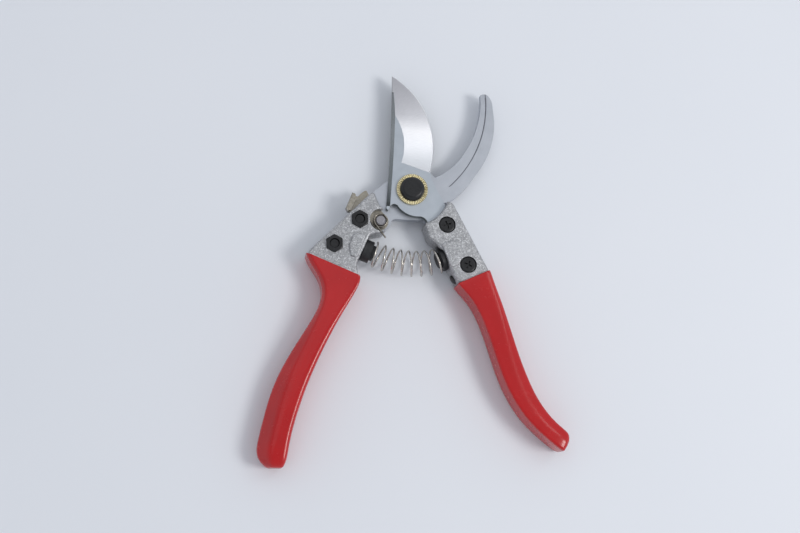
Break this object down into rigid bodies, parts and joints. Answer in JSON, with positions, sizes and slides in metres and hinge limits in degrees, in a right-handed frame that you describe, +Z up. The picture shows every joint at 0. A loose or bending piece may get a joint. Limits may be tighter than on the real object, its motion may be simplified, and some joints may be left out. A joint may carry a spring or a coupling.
{
  "type": "bypass pruner",
  "caption": "Hand-held garden bypass pruner with a curved cutting blade, a hooked counter blade, a coil spring between dipped grips and a thumb lock.",
  "frame": {"origin": "on the pivot axis, in the plane that the tool rests on", "axes": "+Y from the pivot towards the blades, +X to the right, +Z up along the pivot bolt"},
  "size_m": [0.1553, 0.2038, 0.0164],
  "materials": {
    "blade_steel": "satin top with a polished ground bevel",
    "hook_steel": "satin",
    "casting": "blasted, with bright rounded edges",
    "grip": "glossy dipped vinyl",
    "black_steel": "glossy black",
    "ring_brass": "bright, serrated",
    "nickel": "warm nickel plate",
    "spring_steel": "bright nickel wire",
    "bumper": "matt",
    "seat": "black moulded"
  },
  "bodies": {
    "left": {"left_handle": "casting", "left_grip": "grip", "hook_blade": "hook_steel", "hook_screws": "black_steel", "hook_nuts": "black_steel", "pivot_bolt": "black_steel", "pivot_ring": "ring_brass", "lower_washer": "black_steel", "pivot_nut": "black_steel", "lock_pin": "nickel", "lock_spring": "spring_steel", "left_spring_seat": "seat", "main_spring": "spring_steel"},
    "right": {"right_handle": "casting", "right_grip": "grip", "cutting_blade": "blade_steel", "blade_screws": "black_steel", "blade_screw_nuts": "black_steel", "right_spring_seat": "seat", "bumper": "bumper"},
    "lever": {"lock_lever": "nickel"}
  },
  "joints": [
    {"name": "pivot", "type": "hinge", "parent": "left", "child": "right", "pos_m": [0, 0, 0.0085], "axis": [0, 0, -1], "range_deg": [0, 44], "stiffness_Nm_per_rad": 0.6, "springref_deg": -20.05, "deforming": ["main_spring"]},
    {"name": "lock_lever", "type": "hinge", "parent": "left", "child": "lever", "pos_m": [-0.0163, -0.017, 0.0099], "axis": [0, 0, -1], "range_deg": [0, 20], "stiffness_Nm_per_rad": 0.01, "springref_deg": -17.19, "deforming": ["lock_spring"]}
  ]
}
